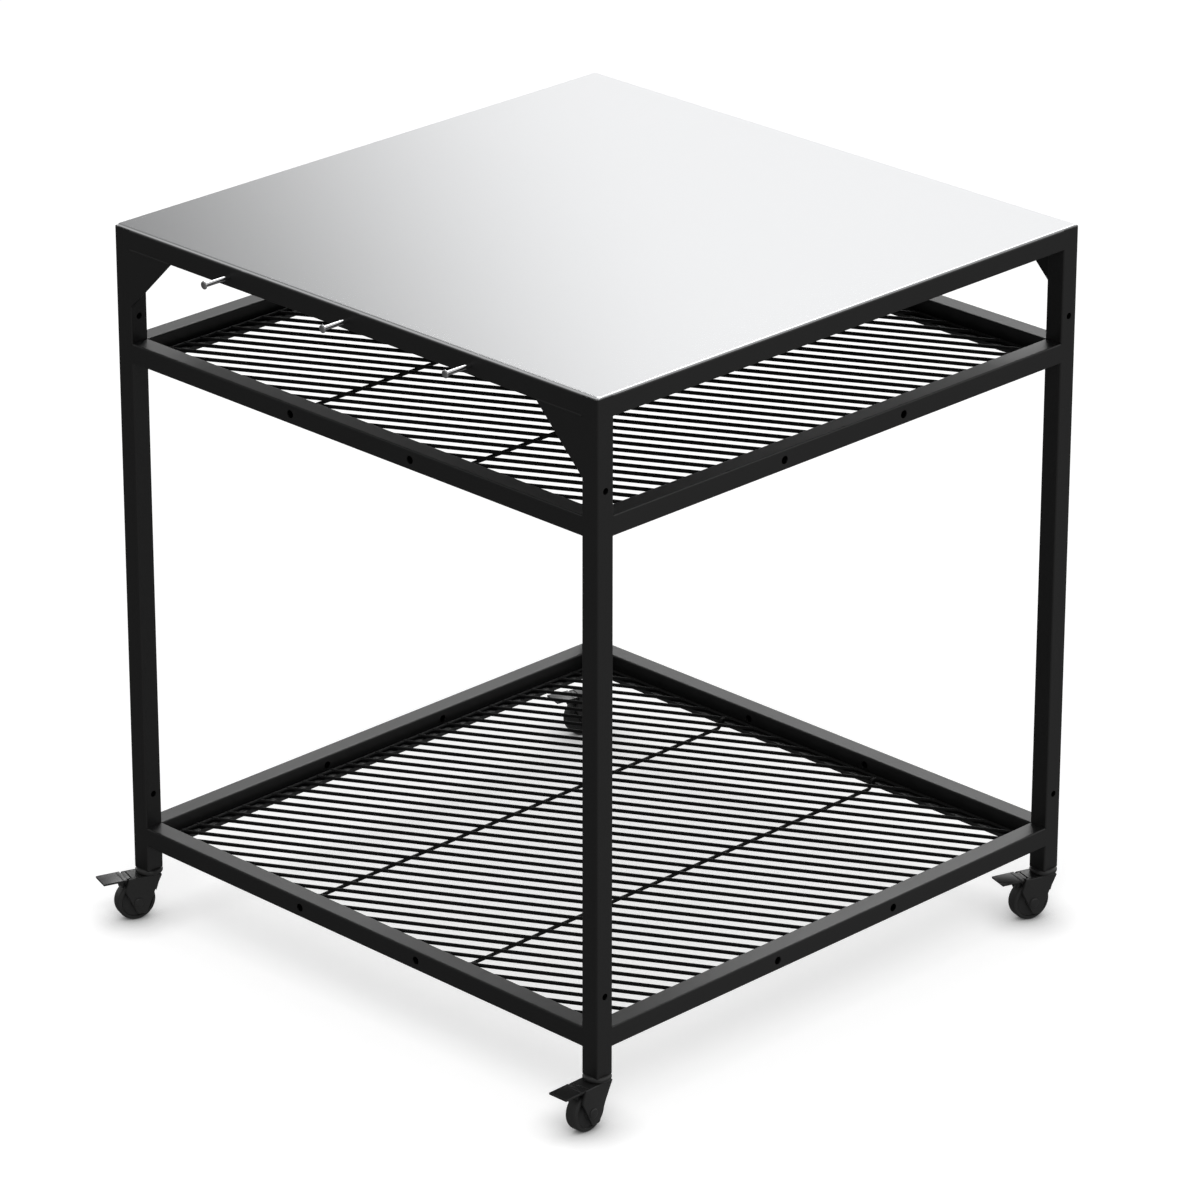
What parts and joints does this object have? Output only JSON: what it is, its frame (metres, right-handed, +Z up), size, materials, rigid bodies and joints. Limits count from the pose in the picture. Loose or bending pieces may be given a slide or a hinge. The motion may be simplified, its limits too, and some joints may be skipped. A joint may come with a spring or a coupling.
{
  "type": "outdoor pizza oven table",
  "caption": "Rolling outdoor oven table with a square black tube frame, stainless worktop, wire shelves, tool pegs and braked swivel casters.",
  "frame": {"origin": "on the floor, under the middle of the square frame", "axes": "+Z up through the worktop, -Y towards the side with the tool pegs, +X to the right seen from there"},
  "size_m": [0.8264, 0.858, 0.9],
  "materials": {
    "frame_black": "satin black powder coat",
    "grate_black": "black powder-coated wire",
    "worktop_steel": "fine satin stainless",
    "peg_steel": "polished",
    "fastener_steel": "zinc plated",
    "caster_black": "black painted steel",
    "pedal_black": "black painted steel with a slight sheen",
    "wheel_rubber": "matte black"
  },
  "bodies": {
    "table": {"leg_front_left": "frame_black", "gusset_front_left": "frame_black", "leg_front_right": "frame_black", "gusset_front_right": "frame_black", "leg_rear_right": "frame_black", "gusset_rear_right": "frame_black", "leg_rear_left": "frame_black", "gusset_rear_left": "frame_black", "top_rail_front": "frame_black", "upper_shelf_rail_front": "frame_black", "upper_ledge_front": "frame_black", "lower_shelf_rail_front": "frame_black", "lower_ledge_front": "frame_black", "top_rail_right": "frame_black", "upper_shelf_rail_right": "frame_black", "upper_ledge_right": "frame_black", "lower_shelf_rail_right": "frame_black", "lower_ledge_right": "frame_black", "top_rail_rear": "frame_black", "upper_shelf_rail_rear": "frame_black", "upper_ledge_rear": "frame_black", "lower_shelf_rail_rear": "frame_black", "lower_ledge_rear": "frame_black", "top_rail_left": "frame_black", "upper_shelf_rail_left": "frame_black", "upper_ledge_left": "frame_black", "lower_shelf_rail_left": "frame_black", "lower_ledge_left": "frame_black", "upper_grate": "grate_black", "lower_grate": "grate_black", "worktop": "worktop_steel", "worktop_bar_left": "frame_black", "worktop_bar_right": "frame_black", "worktop_screws": "fastener_steel", "tool_peg_left": "peg_steel", "tool_peg_middle": "peg_steel", "tool_peg_right": "peg_steel", "peg_nuts": "fastener_steel", "caster_plug_front_left": "caster_black", "caster_plug_front_right": "caster_black", "caster_plug_rear_right": "caster_black", "caster_plug_rear_left": "caster_black"},
    "swivel_front_left": {"fork_front_left": "caster_black", "axle_front_left": "caster_black"},
    "wheel_body_front_left": {"wheel_front_left": "wheel_rubber"},
    "pedal_body_front_left": {"brake_pedal_front_left": "pedal_black"},
    "swivel_front_right": {"fork_front_right": "caster_black", "axle_front_right": "caster_black"},
    "wheel_body_front_right": {"wheel_front_right": "wheel_rubber"},
    "pedal_body_front_right": {"brake_pedal_front_right": "pedal_black"},
    "swivel_rear_right": {"fork_rear_right": "caster_black", "axle_rear_right": "caster_black"},
    "wheel_body_rear_right": {"wheel_rear_right": "wheel_rubber"},
    "pedal_body_rear_right": {"brake_pedal_rear_right": "pedal_black"},
    "swivel_rear_left": {"fork_rear_left": "caster_black", "axle_rear_left": "caster_black"},
    "wheel_body_rear_left": {"wheel_rear_left": "wheel_rubber"},
    "pedal_body_rear_left": {"brake_pedal_rear_left": "pedal_black"}
  },
  "joints": [
    {"name": "caster_swivel_front_left", "type": "hinge", "parent": "table", "child": "swivel_front_left", "pos_m": [-0.3875, -0.3875, 0.055], "axis": [0, 0, 1], "continuous": true},
    {"name": "wheel_roll_front_left", "type": "hinge", "parent": "swivel_front_left", "child": "wheel_body_front_left", "pos_m": [-0.39401, -0.40641, 0.025], "axis": [0.9455, -0.3256, 0], "continuous": true},
    {"name": "brake_pedal_front_left", "type": "hinge", "parent": "swivel_front_left", "child": "pedal_body_front_left", "pos_m": [-0.39743, -0.41634, 0.0525], "axis": [0.9455, -0.3256, 0], "range_deg": [0, 14]},
    {"name": "caster_swivel_front_right", "type": "hinge", "parent": "table", "child": "swivel_front_right", "pos_m": [0.3875, -0.3875, 0.055], "axis": [0, 0, 1], "continuous": true},
    {"name": "wheel_roll_front_right", "type": "hinge", "parent": "swivel_front_right", "child": "wheel_body_front_right", "pos_m": [0.38785, -0.4075, 0.025], "axis": [0.9998, 0.0175, 0], "continuous": true},
    {"name": "brake_pedal_front_right", "type": "hinge", "parent": "swivel_front_right", "child": "pedal_body_front_right", "pos_m": [0.38803, -0.418, 0.0525], "axis": [0.9998, 0.0175, 0], "range_deg": [0, 14]},
    {"name": "caster_swivel_rear_right", "type": "hinge", "parent": "table", "child": "swivel_rear_right", "pos_m": [0.3875, 0.3875, 0.055], "axis": [0, 0, 1], "continuous": true},
    {"name": "wheel_roll_rear_right", "type": "hinge", "parent": "swivel_rear_right", "child": "wheel_body_rear_right", "pos_m": [0.38132, 0.36848, 0.025], "axis": [0.9511, -0.309, 0], "continuous": true},
    {"name": "brake_pedal_rear_right", "type": "hinge", "parent": "swivel_rear_right", "child": "pedal_body_rear_right", "pos_m": [0.37807, 0.35849, 0.0525], "axis": [0.9511, -0.309, 0], "range_deg": [0, 14]},
    {"name": "caster_swivel_rear_left", "type": "hinge", "parent": "table", "child": "swivel_rear_left", "pos_m": [-0.3875, 0.3875, 0.055], "axis": [0, 0, 1], "continuous": true},
    {"name": "wheel_roll_rear_left", "type": "hinge", "parent": "swivel_rear_left", "child": "wheel_body_rear_left", "pos_m": [-0.39268, 0.36818, 0.025], "axis": [0.9659, -0.2588, 0], "continuous": true},
    {"name": "brake_pedal_rear_left", "type": "hinge", "parent": "swivel_rear_left", "child": "pedal_body_rear_left", "pos_m": [-0.39539, 0.35804, 0.0525], "axis": [0.9659, -0.2588, 0], "range_deg": [0, 14]}
  ]
}
